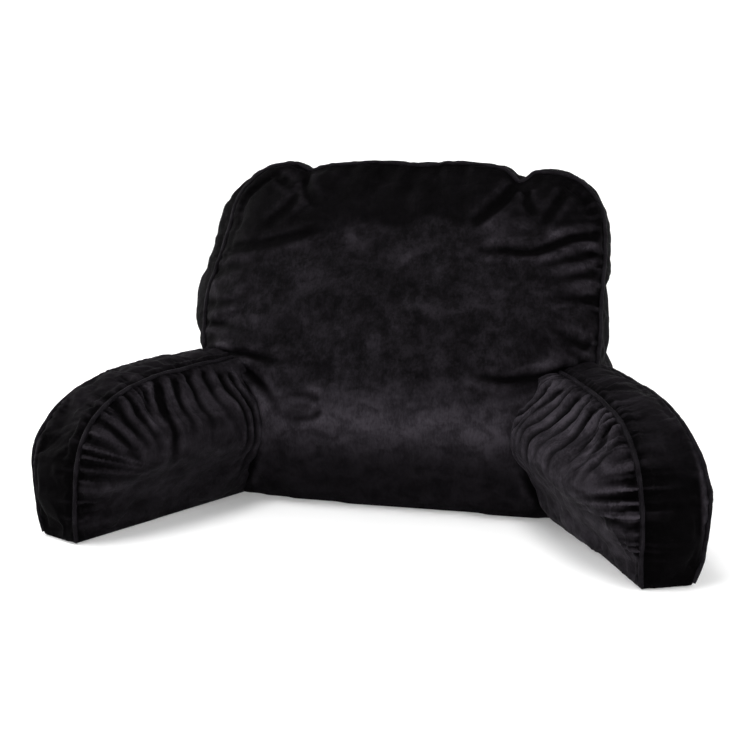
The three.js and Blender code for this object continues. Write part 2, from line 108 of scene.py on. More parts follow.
# Where the rings of each loft lie: from a panel's seam to its middle, or across a strip.
FRONT_RINGS = (0.94, 0.8, 0.66, 0.52, 0.4, 0.3, 0.21, 0.14, 0.08, 0.035, 0.01, 0.0)
BOXING_RINGS = (0.12, 0.3, 0.5, 0.7, 0.88, 1.0)
REAR_RINGS = (0.3, 0.65, 0.9)
ARM_RINGS = (0.93, 0.78, 0.62, 0.46, 0.32, 0.2, 0.1, 0.04, 0.01, 0.0)
GUSSET_RINGS = (0.15, 0.35, 0.5, 0.65, 0.85)

ZIP_Z = 60.0
ZIP_HALF = 210.0
HANDLE_SPAN = 140.0
HANDLE_DROP = 74.0
HANDLE_Z = 432.0
HANDLE_Y = REAR_Y + 5.5

WELT_RADIUS = 3.0
WELT_PROUD = 1.0  # the cord's centre line, outwards from the cover
CORD_STEP = 2.5
FRONT_SEAM_START = 195.0  # the front seam comes out above the arms
FRONT_WELT_START = 196.0
REAR_SEAM_START = 3.0
INNER_WELT_START = -8.0  # the arms' inner cords start inside the back

VOXEL = {"back": 6.6, "arm": 4.2}
PULL_REACH = {"back": 8.0, "arm": 6.0}
GROOVE_DEPTH = 1.4
GROOVE_WIDTH = 6.5
ROLL_LIFT = 0.6  # the height of the rolls beside a crease, as a share of its depth
BACK_STUFFING = {"growth": 0.05, "pressure": 3.5, "frames": 18, "cap": 20}
ARM_STUFFING = {"growth": 0.08, "pressure": 3.5, "frames": 16, "cap": 18}

# Puckers along a seam, as (pitch, reach, height).
FRONT_GATHERS = (14, 24, 1.8)
REAR_GATHERS = (15, 20, 1.0)
INNER_GATHERS = (8.5, 19, 3.0)
INNER_PLEATS = (19, 46, 2.4)
OUTER_GATHERS = (12, 16, 1.0)

scene = bpy.context.scene


def at(points):
    """Layout millimetres to frame metres."""
    points = np.asarray(points, float).copy()
    points[..., 1] += LAYOUT_Y
    return points * MM


def smoothstep(low, high, value):
    t = np.clip((np.asarray(value, float) - low) / (high - low), 0, 1)
    return t * t * (3 - 2 * t)


def hump(value, centre, width):
    return np.exp(-(((np.asarray(value, float) - centre) / width) ** 2))


# ---- curves and lofts ----


def spline(points, steps):
    """A Catmull-Rom curve through a few points, both ends included."""
    p = np.asarray(points, float)
    p = np.vstack([2 * p[0] - p[1], p, 2 * p[-1] - p[-2]])
    out = []
    for a, b, c, d in zip(p[:-3], p[1:-2], p[2:-1], p[3:]):
        bend = 2 * a - 5 * b + 4 * c - d
        twist = 3 * b - a - 3 * c + d
        for t in np.arange(steps) / steps:
            out.append(0.5 * (2 * b + (c - a) * t + bend * t**2 + twist * t**3))
    out.append(p[-2])
    return np.array(out)


def spaced(points, step, closed=False):
    """The same line with its points a step apart."""
    p = np.asarray(points, float)
    if closed:
        p = np.vstack([p, p[:1]])
    run = np.concatenate([[0], np.cumsum(np.linalg.norm(np.diff(p, axis=0), axis=1))])
    count = max(2, int(round(run[-1] / step)))
    marks = np.linspace(0, run[-1], count + 1)
    line = np.stack([np.interp(marks, run, p[:, k]) for k in range(p.shape[1])], 1)
    return line[:-1] if closed else line


def mesh_from(name, points, faces):
    mesh = bpy.data.meshes.new(name)
    mesh.from_pydata(at(points).tolist(), [], faces)
    mesh.validate()
    mesh.update()
    return mesh


def new_object(name, mesh):
    obj = bpy.data.objects.new(name, mesh)
    scene.collection.objects.link(obj)
    return obj


def loft(name, rings, closed_ends=True):
    """A mesh through rings of equal length; the ends are filled with a fan."""
    n = len(rings[0])
    points = [tuple(p) for ring in rings for p in ring]
    faces = []
    for r in range(len(rings) - 1):
        for i in range(n):
            j = (i + 1) % n
            faces.append((r * n + i, r * n + j, (r + 1) * n + j, (r + 1) * n + i))
    if closed_ends:
        for start, ring, turned in ((0, rings[0], True), ((len(rings) - 1) * n, rings[-1], False)):
            points.append(tuple(np.mean(ring, axis=0)))
            middle = len(points) - 1
            for i in range(n):
                edge = (start + i, start + (i + 1) % n)
                faces.append((edge[1], edge[0], middle) if turned else (*edge, middle))
    return mesh_from(name, points, faces)


# ---- the back's shape ----


def back_half(side, notched):
    """One half of the back's outline from the base's middle to the top's, x already signed."""
    top, notch_x = BACK_TOP[side], NOTCH_X[side]
    w, narrow = BACK_WALL[side][0][0], BACK_WALL[side][-1][0]
    notch = NOTCH_DEPTH[side] if notched else 0.0
    middle = max(BACK_TOP.values())
    base = spline([(0, 0), (w * 0.5, 0), (w, 0)], 12)[:-1]
    wall = spline(BACK_WALL[side], 8)[:-1]
    turn = np.linspace(0, math.pi / 2, 14)[:-1]
    centre = (narrow - CORNER_RADIUS, top - CORNER_RADIUS)
    corner = np.stack(
        [centre[0] + CORNER_RADIUS * np.cos(turn), centre[1] + CORNER_RADIUS * np.sin(turn)], 1
    )
    crest = spline(
        [
            (narrow - CORNER_RADIUS, top),
            (notch_x + NOTCH_OUTER, top),
            (notch_x, top - notch),
            (notch_x - NOTCH_INNER, middle - 3),
            (70, middle + 2),
            (0, middle),
        ],
        8,
    )
    half = np.vstack([base, wall, corner, crest])
    half[:, 0] *= side
    return half


def back_outline(notched=True):
    right = spaced(back_half(1, notched), 6.0)
    left = spaced(back_half(-1, notched), 6.0)[::-1]
    return np.vstack([right[:-1], left[:-1]])


def seam_y(x, z):
    """Depth of the front seam: upright beside the arms, then leaning back."""
    leaning = LEAN_START + LEAN * z
    lean = (SEAT_SEAM_Y + leaning + np.hypot(SEAT_SEAM_Y - leaning, LEAN_BLEND)) / 2
    low = np.maximum(0, 1 - z / BASE_BOW_HEIGHT)
    return lean + np.interp(x, BASE_FRONT[:, 0], BASE_FRONT[:, 1]) * low


def fullness(z):
    """How far a panel swells at a height: nothing at the floor, all of it from FULL_HEIGHT up."""
    return 1 - (1 - np.clip(z / FULL_HEIGHT, 0, 1)) ** 2


BASE_FRONT = spline(BASE_LINE, 6)


def dome(share):
    """The rise of a rounded panel, a share of the way from its seam to its middle."""
    return math.sqrt(1 - (1 - share) ** 2)


def towards(loop, centre, share):
    """The loop drawn a share of the way to a centre."""
    return loop + (np.asarray(centre) - loop) * share


def rear_line(edge):
    """The rear seam's outline: a little lower over the top, and further in up the right side."""
    x, z = edge.T
    taper = REAR_TAPER * smoothstep(140, 220, z) * smoothstep(180, 250, x)
    return np.stack([x - taper, z - REAR_DROP * smoothstep(395, 445, z)], 1)


def front_rings(edge, smooth):
    """The front panel's rings. The notches fade out from the seam towards its middle."""
    rings = []
    for share in FRONT_RINGS:
        mix = float(smoothstep(0, 0.3, share))
        q = towards(edge * (1 - mix) + smooth * mix, BACK_CENTRE, share)
        lumbar = LUMBAR_PROUD * hump(q[:, 1], LUMBAR_Z, LUMBAR_SPREAD) * dome(share)
        y = seam_y(q[:, 0], q[:, 1]) - FRONT_BULGE * dome(share) * fullness(q[:, 1]) - lumbar
        rings.append(np.stack([q[:, 0], y, q[:, 1]], 1))
    return rings


def boxing_rings(edge):
    """The boxing's rings, from the front seam to the rear one."""
    rings = []
    front = seam_y(edge[:, 0], edge[:, 1])
    high = smoothstep(150, 240, edge[:, 1]) * (1 - smoothstep(380, 450, edge[:, 1]))
    left = LEFT_SIDE_BULGE * high * (edge[:, 0] < -200)
    right = RIGHT_SIDE_BULGE * high * (edge[:, 0] > 200)
    for across in BOXING_RINGS:
        swell = math.sin(math.pi * across)
        shift = across * (rear_line(edge) - edge)
        x = edge[:, 0] + swell * (right - left) + swell * SIDE_SWELL * edge[:, 0] + shift[:, 0]
        z = edge[:, 1] + swell * TOP_SWELL * smoothstep(400, 440, edge[:, 1]) + shift[:, 1]
        rings.append(np.stack([x, front + (REAR_SEAM_Y - front) * across, z], 1))
    return rings


def rear_rings(edge):
    """The flat rear panel's rings, from the seam in."""
    rings = []
    for share in REAR_RINGS:
        q = towards(rear_line(edge), BACK_CENTRE, share)
        rings.append(np.stack([q[:, 0], np.full(len(q), REAR_SEAM_Y), q[:, 1]], 1))
    return rings


def back_mesh():
    edge = back_outline()
    smooth = back_outline(notched=False)
    count = min(len(edge), len(smooth))
    edge, smooth = edge[:count], smooth[:count]
    return loft("back", front_rings(edge, smooth) + boxing_rings(edge) + rear_rings(edge))


# ---- the arms' shape ----


def arm_outline():
    """The arm's side outline, as (distance from its root, height)."""
    n, m = ARM_SQUARENESS
    angle = np.linspace(math.pi / 2, 0, 60)
    bend = np.stack([ARM_REACH * np.sin(angle) ** (2 / n), ARM_HEIGHT * np.cos(angle) ** (2 / m)], 1)
    bend[-1, 0] = 0.0
    run = [(-ARM_TAIL, ARM_HEIGHT), (-ARM_TAIL, 0)]
    return spaced(np.vstack([bend, run]), 5.0, closed=True)


def arm_point(side, s, z, outward):
    """Layout position of a point on an arm, given along, up and across it."""
    x = side * (ARM_ROOT_X + math.sin(ARM_SPLAY) * s + math.cos(ARM_SPLAY) * outward)
    y = -math.cos(ARM_SPLAY) * s + math.sin(ARM_SPLAY) * outward
    return np.stack([x, y, z + 0 * x], -1)


def arm_frame(side, points):
    """(along, up, across) of layout positions on an arm."""
    x = points[:, 0] * side - ARM_ROOT_X
    y = points[:, 1]
    along = x * math.sin(ARM_SPLAY) - y * math.cos(ARM_SPLAY)
    across = x * math.cos(ARM_SPLAY) + y * math.sin(ARM_SPLAY)
    return along, points[:, 2], across


def across_at(loop):
    """How far the outer seam is from the inner one: the stuffing bows it out half way up."""
    s, z = loop.T
    front = smoothstep(60, 220, s)
    return ARM_WIDTH + front * (ARM_BOW * hump(z, 105, 55) - ARM_TUCK * smoothstep(28, 0, z))


def arm_mesh(side):
    loop = arm_outline()
    rings = []

    def face(seam, bulge, shares):
        for share in shares:
            q = towards(loop, ARM_CENTRE, share)
            out = seam * across_at(loop) + bulge * dome(share) * fullness(q[:, 1])
            rings.append(arm_point(side, q[:, 0], q[:, 1], out))

    face(0.0, -ARM_INNER_BULGE[side], ARM_RINGS)
    s, z = loop.T
    low = 0.2 + 0.8 * smoothstep(0, 60, z)
    for across in GUSSET_RINGS:
        crown = ARM_CROWN * math.sin(math.pi * across) ** 0.7
        end = s + crown * smoothstep(150, 290, s) * low
        top = z + crown * smoothstep(120, 190, z)
        rings.append(arm_point(side, end, top, across * across_at(loop)))
    face(1.0, ARM_OUTER_BULGE, ARM_RINGS[::-1])
    return loft("arm", rings)


# ---- seams ----


def back_seam(which, lowest):
    """The front or rear seam of the back, from one side over the top to the other."""
    edge = back_outline()
    edge = edge[edge[:, 1] > lowest]
    if which == "front":
        return np.stack([edge[:, 0], seam_y(edge[:, 0], edge[:, 1]), edge[:, 1]], 1)
    rear = rear_line(edge)
    return np.stack([rear[:, 0], np.full(len(edge), REAR_SEAM_Y), rear[:, 1]], 1)


def arm_seam(side, outward, start=0.0):
    """An arm's inner (0) or outer (1) seam, from the back over the top to the floor."""
    n, m = ARM_SQUARENESS
    angle = np.linspace(0, math.pi / 2, 70)
    s = ARM_REACH * np.sin(angle) ** (2 / n)
    z = ARM_HEIGHT * np.cos(angle) ** (2 / m)
    line = spaced(np.vstack([[(start, ARM_HEIGHT)], np.stack([s, z], 1)]), 4.0)
    return arm_point(side, line[:, 0], line[:, 1], outward * across_at(line))


def tree_of(coords):
    """A search tree of points in frame metres."""
    tree = KDTree(len(coords))
    for i, c in enumerate(coords):
        tree.insert(c, i)
    tree.balance()
    return tree


class Seam:
    """A seam's line, with the nearest point and distance for many vertices."""

    def __init__(self, points):
        self.tree = tree_of(at(points))
        steps = np.linalg.norm(np.diff(points, axis=0), axis=1)
        self.run = np.concatenate([[0], np.cumsum(steps)])

    def pull(self, coords, reach):
        """Draws the vertices nearest the seam onto its line."""
        for i, c in enumerate(coords):
            spot, _, distance = self.tree.find(c)
            share = 0.9 * math.exp(-((distance / MM / reach) ** 2))
            if share > 0.02:
                coords[i] += (np.array(spot) - c) * share
        return coords

    def near(self, coords):
        """Each vertex's distance from the seam, and how far along it the nearest point is."""
        found = [self.tree.find(c) for c in coords]
        distance = np.array([f[2] for f in found]) / MM
        return distance, self.run[[f[1] for f in found]]


# ---- padding: remesh, inflate, refine ----


def coords_of(mesh):
    out = np.empty(len(mesh.vertices) * 3)
    mesh.vertices.foreach_get("co", out)
    return out.reshape(-1, 3)


def normals_of(mesh):
    out = np.empty(len(mesh.vertices) * 3, np.float32)
    mesh.vertex_normals.foreach_get("vector", out)
    return out.reshape(-1, 3).astype(float)


def set_coords(mesh, coords):
    mesh.vertices.foreach_set("co", np.ascontiguousarray(coords, dtype=np.float32).ravel())
    mesh.update()


def layout_of(mesh):
    points = coords_of(mesh) / MM
    points[:, 1] -= LAYOUT_Y
    return points


def applied(obj):
    """The object's mesh with its modifiers applied, and the modifiers gone."""
    graph = bpy.context.evaluated_depsgraph_get()
    mesh = bpy.data.meshes.new_from_object(obj.evaluated_get(graph))
    obj.modifiers.clear()
    obj.data = mesh
    return mesh


def remesh(obj, voxel):
    mod = obj.modifiers.new("Remesh", "REMESH")
    mod.mode = "VOXEL"
    mod.voxel_size = voxel * MM
    return applied(obj)


def inflate(obj, held, growth, pressure, frames, cap):
    """Cloth with air in it: seams and base are held, the rest swells and wrinkles."""
    start = coords_of(obj.data)
    group = obj.vertex_groups.new(name="held")
    group.add([int(i) for i in np.nonzero(held)[0]], 1.0, "REPLACE")
    mod = obj.modifiers.new("Cloth", "CLOTH")
    cloth = mod.settings
    cloth.quality = 5
    cloth.mass = 0.12
    cloth.air_damping = 2.0
    cloth.tension_stiffness = 12.0
    cloth.compression_stiffness = 12.0
    cloth.shear_stiffness = 4.0
    cloth.bending_stiffness = 0.08
    cloth.vertex_group_mass = "held"
    cloth.use_pressure = True
    cloth.uniform_pressure_force = pressure
    cloth.shrink_min = -growth
    cloth.effector_weights.gravity = 0.0
    mod.collision_settings.use_collision = False
    mod.point_cache.frame_start = 1
    mod.point_cache.frame_end = frames
    for number in range(1, frames + 1):
        scene.frame_set(number)
    mesh = applied(obj)
    scene.frame_set(1)
    moved = coords_of(mesh) - start
    size = np.linalg.norm(moved, axis=1, keepdims=True)
    limit = cap * MM
    moved *= np.where(size > 0, limit * np.tanh(size / limit) / np.maximum(size, 1e-9), 0)
    set_coords(mesh, start + moved)
    obj.vertex_groups.clear()


def refine(obj):
    mod = obj.modifiers.new("Subdivision", "SUBSURF")
    mod.levels = 1
    mod.render_levels = 1
    applied(obj)


def relax(obj, rounds):
    """Laplacian smoothing, to take out the remesh's stair steps."""
    mesh = obj.data
    coords = coords_of(mesh)
    edges = np.empty(len(mesh.edges) * 2, np.int64)
    mesh.edges.foreach_get("vertices", edges)
    a, b = edges.reshape(-1, 2).T
    degree = np.bincount(np.concatenate([a, b]), minlength=len(coords))[:, None]
    for _ in range(rounds):
        total = np.zeros_like(coords)
        np.add.at(total, a, coords[b])
        np.add.at(total, b, coords[a])
        coords += 0.5 * (total / np.maximum(degree, 1) - coords)
    set_coords(mesh, coords)


def wander(values, scale, seed):
    """Smooth noise along a line, between -1 and 1."""
    table = {}
    keys = np.round(np.asarray(values) / 2).astype(int)
    for key in np.unique(keys):
        table[key] = noise.noise(Vector((key * 2 / scale, seed * 7.3, 1.7)))
    return np.array([table[k] for k in keys]) * 1.8


def gathers(seam_place, kind, seed):
    """Puckers that start at a seam and die out over their reach."""
    distance, run = seam_place
    pitch, reach, height = kind
    phase = run / pitch + 1.4 * wander(run, pitch * 3.1, seed)
    ridge = 1 - 2 * np.abs(np.sin(math.pi * phase)) ** 0.7
    uneven = 0.35 + 0.65 * np.clip(wander(run, pitch * 2.3, seed + 5) + 0.6, 0, 1.5)
    fade = np.exp(-((distance / (reach * (0.7 + 0.5 * np.clip(uneven, 0, 1.4)))) ** 1.6))
    start = smoothstep(1.0, 6.0, distance)
    return height * ridge * uneven * fade * start


def groove(distance):
    """The dip that a seam pulls into the padding."""
    return -GROOVE_DEPTH * np.exp(-((distance / GROOVE_WIDTH) ** 2))


def crease(flat, points, width, depth):
    """A fold that dies out along a few points: a valley with a roll of cloth on either side of it.

    The points and the vertices are taken flat, as the panel is seen from its front."""
    line = spaced(spline(points, 8), 3.0)
    out = np.zeros(len(flat))
    low, high = line.min(0) - 4 * width, line.max(0) + 4 * width
    near = np.all((flat > low) & (flat < high), axis=1)
    if not near.any():
        return out
    gap = np.linalg.norm(flat[near][:, None, :] - line[None, :, :], axis=2)
    distance = gap.min(1)
    along = gap.argmin(1) / (len(line) - 1)
    taper = smoothstep(0, 0.12, along) * (1 - along) ** 0.75
    valley = -np.exp(-((distance / width) ** 2))
    rolls = ROLL_LIFT * np.exp(-(((distance - 1.9 * width) / (0.9 * width)) ** 2))
    out[near] = depth * taper * (valley + rolls)
    return out


def paint_pile_and_light(obj, zone, relief, crush):
    """The pile's tone with painted light and shade: a painted highlight on rolls of cloth and painted
    shade in folds and seam grooves, and how crushed the pile is.
    """
    crushed = obj.data.attributes.new("crush", "FLOAT", "POINT")
    crushed.data.foreach_set("value", np.asarray(crush, np.float32))
    pile_and_light = obj.data.attributes.new("pile_and_light", "FLOAT", "POINT")
    # Painted highlight where the cloth stands proud and painted shade where it dips, from its relief.
    tone = np.clip(zone * (1 + 0.85 * np.tanh(0.4 * relief)) + 0.12 * np.tanh(0.6 * relief), 0.01, 2.0)
    pile_and_light.data.foreach_set("value", tone.astype(np.float32))


def displace(obj, amount):
    mesh = obj.data
    set_coords(mesh, coords_of(mesh) + normals_of(mesh) * amount[:, None] * MM)


def cloth_noise(layout, scale, seed):
    """Noise over the cloth, with features about the scale across."""
    offset = Vector((seed * 3.1, seed * 1.7, seed * 5.3))
    return np.array([noise.noise(Vector(p) / scale + offset) for p in layout])


def seat_on_floor(obj):
    """Lifts whatever has sunk below the floor back up to it."""
    mesh = obj.data
    coords = coords_of(mesh)
    coords[:, 2] = np.maximum(coords[:, 2], 0.0)
    set_coords(mesh, coords)


# ---- the back's cushion ----

# Folds of the back's front panel, as (x, height) points, width and depth.
BACK_FOLDS = [
    ([(-262, 200), (-205, 203), (-148, 196)], 6, 5),
    ([(-244, 190), (-206, 184), (-170, 156), (-150, 128)], 6, 5),
    ([(-232, 176), (-206, 160), (-188, 134), (-180, 104)], 5, 5),
    ([(-226, 164), (-210, 140), (-202, 110), (-198, 80)], 5, 4),
    ([(-92, 152), (-116, 158), (-140, 154), (-158, 140)], 5, 2.0),
    ([(-90, 140), (-106, 128), (-132, 125), (-156, 134)], 5, 2.4),
    ([(264, 204), (206, 197), (172, 190), (136, 191), (100, 198)], 6, 5),
    ([(232, 200), (185, 180), (150, 166)], 6, 3),
    ([(262, 226), (230, 240), (198, 262)], 6, 3.5),
    ([(258, 205), (222, 232), (196, 238)], 5, 3),
    ([(268, 368), (226, 366), (182, 350), (128, 351), (92, 345)], 6, 5.5),
    ([(262, 346), (206, 336), (170, 326)], 6, 2.6),
    ([(268, 322), (222, 316), (190, 312)], 6, 2.4),
    ([(264, 285), (226, 290), (198, 296)], 6, 2.2),
    ([(143, 432), (124, 408), (90, 378)], 7, 5),
    ([(158, 426), (164, 410), (176, 396)], 5, 3.5),
    ([(214, 424), (198, 402), (186, 378)], 6, 3),
    ([(-204, 440), (-184, 430), (-160, 420)], 5, 3),
    ([(-160, 438), (-148, 420), (-128, 402)], 6, 4.5),
    ([(-158, 420), (-178, 394), (-206, 370)], 6, 2.6),
    ([(-268, 336), (-200, 350), (-150, 362), (-90, 376), (-60, 380)], 6, 2.2),
    ([(-284, 300), (-240, 318), (-210, 322)], 6, 2.6),
    ([(-286, 262), (-244, 270), (-206, 282)], 6, 2.6),
    ([(-288, 236), (-250, 240), (-214, 236)], 5, 2.4),
    ([(-214, 20), (-194, 60), (-182, 96)], 6, 2.6),
    ([(210, 20), (192, 60), (182, 92)], 6, 2.6),
]


def sew(obj, kind, *seams):
    """Draws a cover's vertices onto its seams, and returns where they are then."""
    coords = coords_of(obj.data)
    for seam in seams:
        coords = seam.pull(coords, PULL_REACH[kind])
    set_coords(obj.data, coords)
    return coords


def stuff(obj, held, stuffing):
    """Swells a cover between its seams and refines it, and returns its layout positions."""
    inflate(obj, held, **stuffing)
    refine(obj)
    return layout_of(obj.data)


def back_relief(layout, to_front, to_rear):
    """How far the back's cloth stands off its padding: seams, puckers and creases."""
    off_rear = smoothstep(REAR_Y - 3, REAR_Y - 12, layout[:, 1])
    below_top = 0.25 + 0.75 * smoothstep(440, 400, layout[:, 2])
    relief = groove(to_front[0]) + groove(to_rear[0])
    relief += gathers(to_front, FRONT_GATHERS, 1) * below_top
    relief += gathers(to_rear, REAR_GATHERS, 3) * off_rear * below_top
    on_front = smoothstep(12, 2, layout[:, 1] - seam_y(layout[:, 0], layout[:, 2]))
    for points, width, depth in BACK_FOLDS:
        relief += crease(layout[:, [0, 2]], points, width, depth) * on_front
    return relief


def make_back():
    obj = new_object("back_cover", back_mesh())
    remesh(obj, VOXEL["back"])
    relax(obj, 3)
    front = Seam(back_seam("front", FRONT_SEAM_START))
    rear = Seam(back_seam("rear", REAR_SEAM_START))
    layout = layout_of(obj.data)
    coords = sew(obj, "back", front, rear)
    base_or_rear = (layout[:, 2] < 7) | (layout[:, 1] > REAR_Y - 5)
    held = (front.near(coords)[0] < 5) | (rear.near(coords)[0] < 5) | base_or_rear
    layout = stuff(obj, held, BACK_STUFFING)
    coords = coords_of(obj.data)
    relief = back_relief(layout, front.near(coords), rear.near(coords))
    worn = smoothstep(135, 195, layout[:, 2])
    paint_pile_and_light(obj, back_zones(layout), relief, worn)
    relief += 2.2 * cloth_noise(layout, 42, 1) + 0.9 * cloth_noise(layout, 17, 2)
    off_floor = smoothstep(4, 30, layout[:, 2])
    rear_face = smoothstep(REAR_Y - 9, REAR_Y - 2, layout[:, 1])
    displace(obj, relief * off_floor * (1 - rear_face))
    flatten_rear(obj)
    seat_on_floor(obj)
    return obj


# Tones of the back's pile: higher is lighter. Above the brushed line it is brushed dark.
BRUSHED_X = [-260, -130, -60, 60, 150, 260]
BRUSHED_Z = [318, 366, 380, 384, 392, 372]
BACK_TONE = 0.22
# Painted highlight: how much lighter the pile is painted over the lumbar roll, where it catches the
# light.
ROLL_PAINTED_HIGHLIGHT = 0.64
REAR_TONE = 0.2
# The share of the tone that each darker patch takes away. The two wing patches are painted shade, in
# the creases where the back's wings fold over the arms.
BRUSHED_SHADE = 0.84
OVAL_SHADE = 0.55
LEFT_WING_PAINTED_SHADE = 0.75
RIGHT_WING_PAINTED_SHADE = 0.6
BOXING_SHADE = 0.5


def back_zones(layout):
    """The back is brushed dark at the top and darker on the boxing. It has a painted highlight over the
    lumbar roll, and painted shade below the roll and in the creases where the wings fold over the arms.
    """
    x, y, z = layout.T
    brushed = np.interp(x, BRUSHED_X, BRUSHED_Z) + 14 * cloth_noise(layout, 55, 12)
    # Painted highlight over the lumbar roll, and painted shade below it towards the floor.
    roll = hump(z, 128, 36) * (1 - 0.3 * smoothstep(120, 230, np.abs(x)))
    tone = BACK_TONE + ROLL_PAINTED_HIGHLIGHT * roll - 0.07 * smoothstep(100, 60, z)
    tone = tone * (1 - BRUSHED_SHADE * smoothstep(brushed - 8, brushed + 8, z))
    tone = tone * (1 - OVAL_SHADE * hump(x, -120, 30) * hump(z, 141, 14))
    # Painted shade in the creases where the wings fold over the arms.
    tone = tone * (1 - LEFT_WING_PAINTED_SHADE * hump(z, 190 + 0.1 * x, 9) * smoothstep(-160, -215, x))
    tone = tone * (1 - RIGHT_WING_PAINTED_SHADE * hump(z, 182, 9) * smoothstep(120, 165, x))
    worn = cloth_noise(layout, 30, 14)
    tone = tone * (1 + 0.5 * worn * smoothstep(130, 190, z))
    tone = tone * (1 - BOXING_SHADE * smoothstep(0, 14, y - seam_y(x, z)))
    rear = smoothstep(REAR_Y - 40, REAR_Y - 10, y)
    return tone * (1 - rear) + rear * (REAR_TONE + 0.06 * worn)


def flatten_rear(obj):
    """Keeps the rear panel behind the zip and the handle, with shallow puckers between them."""
    mesh = obj.data
    layout = layout_of(mesh)
    coords = coords_of(mesh)
    zip_height = smoothstep(24, 17, np.abs(layout[:, 2] - ZIP_Z))
    zip_length = smoothstep(ZIP_HALF + 16, ZIP_HALF + 9, np.abs(layout[:, 0]))
    dips = 1.6 * np.abs(cloth_noise(layout, 60, 8)) + 0.8 * np.abs(cloth_noise(layout, 23, 9))
    limit = REAR_Y - 0.6 - dips - 5.4 * (zip_height * zip_length)
    coords[:, 1] = np.minimum(coords[:, 1], (limit + LAYOUT_Y) * MM)
    set_coords(mesh, coords)


# ---- the arms' cushions ----

# Folds on the arms' inner faces, as (along, up) points, width and depth.
ARM_FOLDS = {
    -1: [
        ([(262, 168), (246, 136), (226, 96)], 5, 3.4),
        ([(238, 180), (226, 146), (212, 112)], 5, 3.0),
        ([(210, 186), (206, 150), (198, 108)], 5, 3.6),
        ([(178, 190), (186, 156), (190, 126)], 4.5, 2.8),
        ([(160, 192), (172, 150), (178, 104), (180, 84)], 6, 4.4),
        ([(130, 194), (138, 158), (146, 118)], 5, 3.6),
        ([(104, 194), (108, 156), (114, 112)], 5, 3.0),
        ([(80, 194), (78, 160), (80, 128)], 5, 2.6),
        ([(60, 194), (50, 150), (44, 100), (42, 60)], 5, 4.0),
        ([(44, 192), (34, 140), (30, 90), (30, 40)], 5, 4.5),
    ],
    1: [
        ([(40, 194), (20, 150), (12, 100), (14, 60)], 5, 4.0),
        ([(56, 194), (36, 152), (28, 104), (30, 66)], 5, 4.2),
        ([(72, 195), (58, 160), (52, 122)], 4.5, 3.6),
        ([(88, 195), (78, 158), (76, 118)], 4.5, 3.6),
        ([(110, 195), (106, 158), (104, 110), (106, 84)], 6, 4.4),
        ([(136, 194), (136, 158), (136, 118)], 5, 3.8),
        ([(160, 192), (166, 158), (172, 120), (178, 100)], 5.5, 4.0),
        ([(186, 190), (194, 156), (204, 124)], 5, 3.2),
        ([(214, 184), (222, 150), (228, 118)], 5, 3.0),
        ([(250, 168), (244, 138), (238, 110)], 5, 2.6),
        ([(290, 112), (262, 104), (238, 100)], 5, 2.6),
        ([(292, 84), (262, 78), (236, 66)], 5, 2.4),
    ],
}


# Painted light: the inner faces' tones. The right arm's is painted lighter because its inner face faces
# the light.
ARM_FACE_PAINTED_LIGHT = {-1: 0.24, 1: 0.5}


def arm_zones(side, layout, up, across):
    """Painted light: the inner faces are painted lighter where they catch the light and darker towards
    the floor, and the gussets get painted shade towards the floor and painted light over the arm's top.
    """
    on_gusset = smoothstep(-1, 5, across) * smoothstep(ARM_WIDTH + 1, ARM_WIDTH - 5, across)
    # Painted shade low on the gussets and painted light over the top, and painted shade low on the
    # inner faces.
    gusset = 0.02 + 0.16 * smoothstep(110, 190, up)
    face = ARM_FACE_PAINTED_LIGHT[side] + 0.06 * smoothstep(20, 110, up)
    tone = face + (gusset - face) * on_gusset
    return tone * (1 + 0.3 * cloth_noise(layout, 38, 15))


def arm_relief(side, place, to_inner, to_outer):
    """How far an arm's cloth stands off its padding: seams, puckers, pleats and creases."""
    along, up, across = place
    curve = smoothstep(70, 200, to_inner[1]) * smoothstep(10, 60, up)
    strong = 0.35 + 0.65 * curve
    relief = groove(to_inner[0]) + groove(to_outer[0])
    relief += gathers(to_inner, INNER_GATHERS, 20 + side) * strong
    relief += gathers(to_inner, INNER_PLEATS, 25 + side) * strong * (across < 0)
    relief += gathers(to_outer, OUTER_GATHERS, 30 + side) * (0.3 + 0.7 * smoothstep(10, 60, up))
    on_face = smoothstep(2, -4, across)
    for points, width, depth in ARM_FOLDS[side]:
        relief += crease(np.stack([along, up], 1), points, width, depth) * on_face
    return relief


def make_arm(word, side):
    obj = new_object("arm_%s_cover" % word, arm_mesh(side))
    remesh(obj, VOXEL["arm"])
    relax(obj, 2)
    inner = Seam(arm_seam(side, 0.0))
    outer = Seam(arm_seam(side, 1.0))
    coords = sew(obj, "arm", inner, outer)
    along, up, _ = arm_frame(side, layout_of(obj.data))
    base_or_root = (up < 4) | (along < -30)
    held = (inner.near(coords)[0] < 3.5) | (outer.near(coords)[0] < 3.5) | base_or_root
    layout = stuff(obj, held, ARM_STUFFING)
    coords = coords_of(obj.data)
    place = arm_frame(side, layout)
    _, up, across = place
    relief = arm_relief(side, place, inner.near(coords), outer.near(coords))
    paint_pile_and_light(obj, arm_zones(side, layout, up, across), relief, np.full(len(up), 0.3))
    relief += 1.8 * cloth_noise(layout, 36, 4 + side) + 0.7 * cloth_noise(layout, 14, 6 + side)
    displace(obj, relief * smoothstep(2, 22, up))
    seat_on_floor(obj)
    return obj


# ---- piping ----


